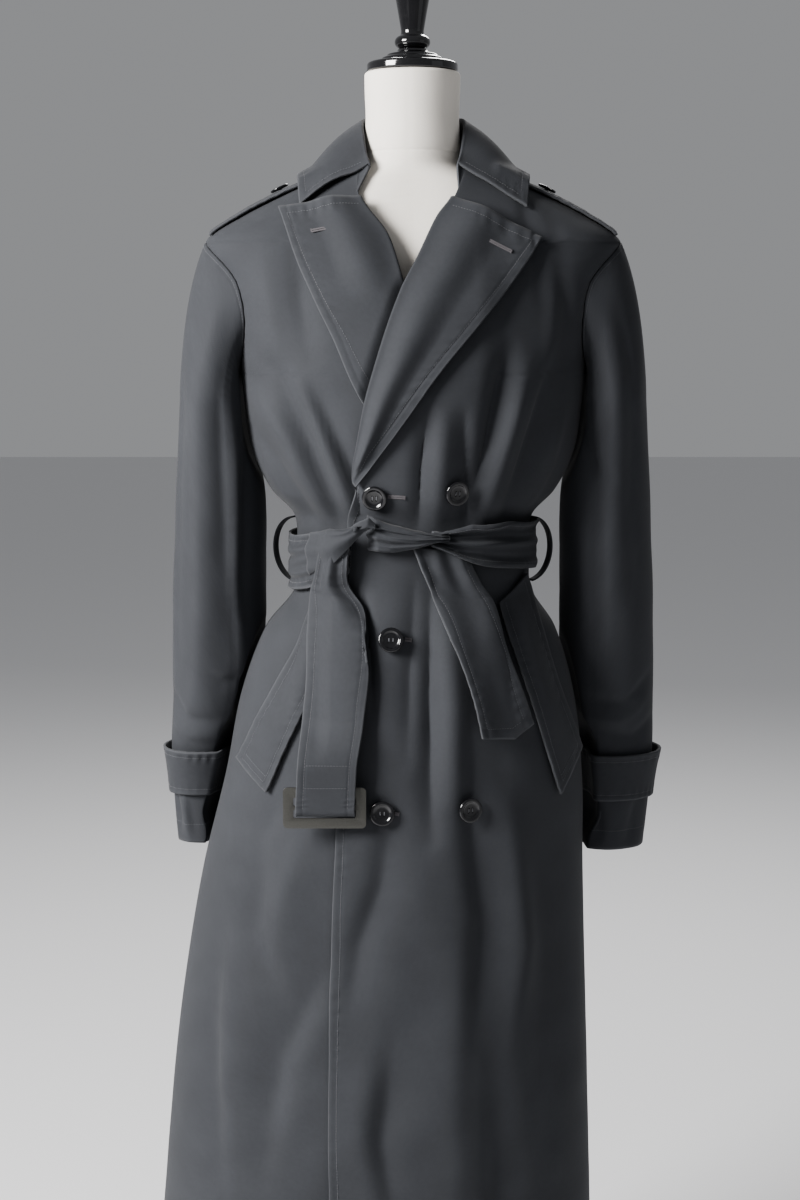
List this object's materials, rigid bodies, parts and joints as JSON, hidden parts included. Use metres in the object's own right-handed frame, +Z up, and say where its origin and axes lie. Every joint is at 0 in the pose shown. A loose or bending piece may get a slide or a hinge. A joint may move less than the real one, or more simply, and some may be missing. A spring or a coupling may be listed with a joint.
{
  "type": "trench coat on a dress form",
  "caption": "Long belted double-breasted trench coat with wide lapels, epaulettes and cuff straps, worn by a limbless dress form on a round base.",
  "frame": {"origin": "centre of the stand base's underside", "axes": "+Z up along the pole, -Y towards the coat's front, +X towards the wearer's left"},
  "size_m": [0.577, 0.38, 1.7096],
  "materials": {
    "coat_cloth": "washed matt cotton gabardine",
    "form_cloth": "off-white stretched cotton cover",
    "black_lacquer": "black gloss lacquer on turned wood",
    "black_steel": "black satin paint",
    "button_plastic": "polished black",
    "buckle_metal": "satin gunmetal"
  },
  "bodies": {
    "coat_and_form": {"form_torso": "form_cloth", "neck_cap": "black_lacquer", "finial": "black_lacquer", "stand_pole": "black_steel", "stand_base": "black_steel", "front_right": "coat_cloth", "front_left": "coat_cloth", "back": "coat_cloth", "lapel_right": "coat_cloth", "lapel_left": "coat_cloth", "collar_stand": "coat_cloth", "collar": "coat_cloth", "sleeve_left_top": "coat_cloth", "sleeve_left_under": "coat_cloth", "cuff_strap_left": "coat_cloth", "epaulette_left": "coat_cloth", "pocket_welt_left": "coat_cloth", "belt_loop_left": "coat_cloth", "sleeve_right_top": "coat_cloth", "sleeve_right_under": "coat_cloth", "cuff_strap_right": "coat_cloth", "epaulette_right": "coat_cloth", "pocket_welt_right": "coat_cloth", "belt_loop_right": "coat_cloth", "belt_waist": "coat_cloth", "belt_knot": "coat_cloth", "belt_twist": "coat_cloth", "belt_long_end": "coat_cloth", "belt_short_end": "coat_cloth", "epaulette_button_left": "button_plastic", "epaulette_button_right": "button_plastic", "button_top_right": "button_plastic", "button_top_left": "button_plastic", "button_middle_right": "button_plastic", "button_middle_left": "button_plastic", "button_low_right": "button_plastic", "button_low_left": "button_plastic"},
    "buckle": {"buckle": "buckle_metal"}
  },
  "joints": [
    {"name": "buckle_rock", "type": "hinge", "parent": "coat_and_form", "child": "buckle", "pos_m": [-0.09447, -0.17735, 0.81423], "axis": [-1, 0, 0], "range_deg": [0, 20]}
  ]
}
